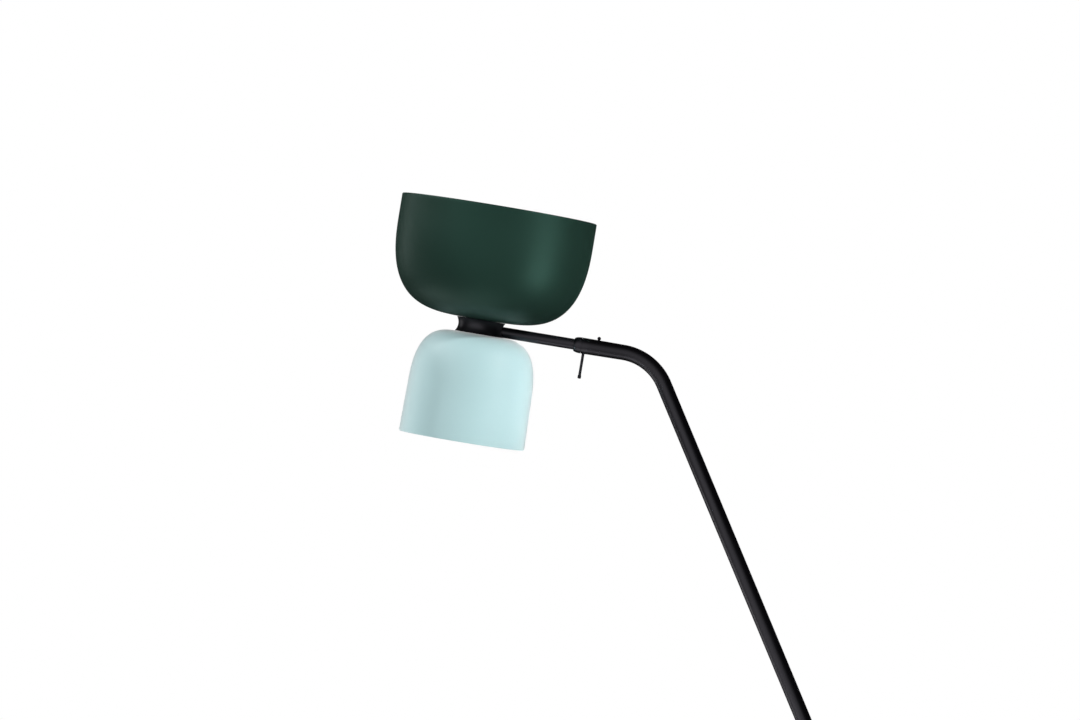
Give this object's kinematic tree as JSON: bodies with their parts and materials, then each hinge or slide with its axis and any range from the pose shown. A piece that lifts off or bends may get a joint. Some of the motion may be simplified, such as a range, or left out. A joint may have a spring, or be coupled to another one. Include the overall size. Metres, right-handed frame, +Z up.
{
  "type": "adjustable arm floor lamp",
  "caption": "Floor lamp with a leaning bent stem, a sliding and swivelling arm with a lock lever, an upturned bowl shade and a downturned bell shade on one spool.",
  "frame": {"origin": "the middle of the round base's underside, on the floor", "axes": "+Z up; +X from the head towards the stem's foot, in the plane in which the stem leans; +Y across"},
  "size_m": [0.8899, 0.3, 1.4984],
  "materials": {
    "base_lacquer": "satin",
    "black_lacquer": "satin",
    "green_lacquer": "satin",
    "aqua_lacquer": "satin",
    "steel": "satin",
    "brass": "satin",
    "nylon": "satin",
    "black_plastic": "satin",
    "rubber": "matte",
    "ceramic": "satin",
    "frosted_bulb": "satin",
    "white_plastic": "satin",
    "cable_sheath": "matte"
  },
  "bodies": {
    "stand": {"ball_pin": "black_lacquer", "base_pad": "rubber", "base_plate": "steel", "base_weight": "base_lacquer", "cord_bush": "black_plastic", "earth_screw": "brass", "earth_washer": "brass", "foot_nut": "steel", "foot_wedge": "steel", "guide_bush": "black_plastic", "plate_screw_1": "steel", "plate_screw_2": "steel", "plate_screw_3": "steel", "stem_collar": "black_lacquer", "stem_foot": "steel", "stem_tube": "black_lacquer", "supply_flex": "cable_sheath", "terminal_block": "nylon"},
    "lever": {"lock_lever": "black_lacquer", "clamp_pad": "nylon"},
    "carrier": {"glide_ring": "nylon"},
    "arm": {"arm_spigot": "steel", "arm_tube": "black_lacquer", "bell_bulb_cap": "steel", "bell_bulb_collar": "white_plastic", "bell_bulb_glass": "frosted_bulb", "bell_contact": "brass", "bell_holder_cap": "black_plastic", "bell_holder_core": "ceramic", "bell_holder_shell": "black_plastic", "bell_lead": "cable_sheath", "bell_nipple": "brass", "bell_nut": "brass", "bell_screw_shell": "brass", "bell_shade": "aqua_lacquer", "bell_washer": "steel", "bowl_bulb_cap": "steel", "bowl_bulb_collar": "white_plastic", "bowl_bulb_glass": "frosted_bulb", "bowl_contact": "brass", "bowl_holder_cap": "black_plastic", "bowl_holder_core": "ceramic", "bowl_holder_shell": "black_plastic", "bowl_lead": "cable_sheath", "bowl_nipple": "brass", "bowl_nut": "brass", "bowl_screw_shell": "brass", "bowl_shade": "green_lacquer", "bowl_washer": "steel", "end_collar": "brass", "spool": "black_lacquer", "stop_collar": "brass", "wire_connector": "nylon"}
  },
  "joints": [
    {"name": "arm_slide", "type": "slide", "parent": "stand", "child": "carrier", "axis": [-0.9866, 0, 0.1633], "range_m": [-0.006, 0.014]},
    {"name": "arm_roll", "type": "hinge", "parent": "carrier", "child": "arm", "pos_m": [-0.6371, 0, 1.33281], "axis": [-0.9866, 0, 0.1633], "range_deg": [-90, 90]},
    {"name": "lever_turn", "type": "hinge", "parent": "stand", "child": "lever", "pos_m": [-0.50983, 0, 1.31174], "axis": [-0.1633, 0, -0.9866], "range_deg": [0, 180]}
  ]
}
